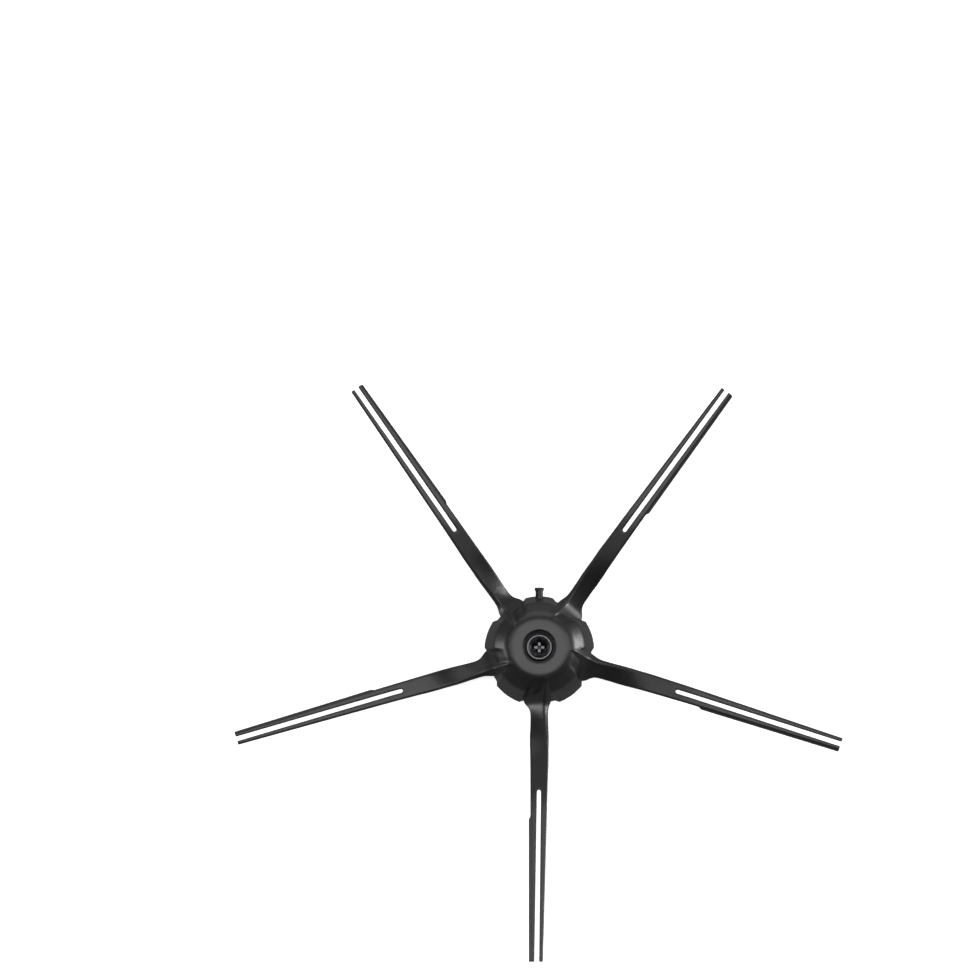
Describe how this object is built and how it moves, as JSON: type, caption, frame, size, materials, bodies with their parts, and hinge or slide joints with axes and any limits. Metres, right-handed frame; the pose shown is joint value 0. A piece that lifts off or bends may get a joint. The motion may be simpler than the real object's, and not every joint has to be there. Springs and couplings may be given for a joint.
{
  "type": "robot vacuum side brush",
  "caption": "Star-shaped side brush for a robot vacuum: domed hub with a captive screw and slender twisted rubber arms, each split into strips that sweep dust in from the side.",
  "frame": {"origin": "on the turning axis, in the plane of the back rim, at the mouth of the drive socket", "axes": "+Z along the turning axis from the back towards the screw head, -Y along one arm"},
  "size_m": [0.1667, 0.1591, 0.0217],
  "materials": {
    "soft_rubber": "satin moulded rubber",
    "hard_plastic": "moulded",
    "black_steel": "black oxide"
  },
  "bodies": {
    "hub": {"brush_body": "soft_rubber", "drive_core": "hard_plastic"},
    "screw": {"captive_screw": "black_steel"}
  },
  "joints": [
    {"name": "screw_turn", "type": "hinge", "parent": "hub", "child": "screw", "pos_m": [0, 0, 0], "axis": [0, 0, 1], "continuous": true}
  ]
}
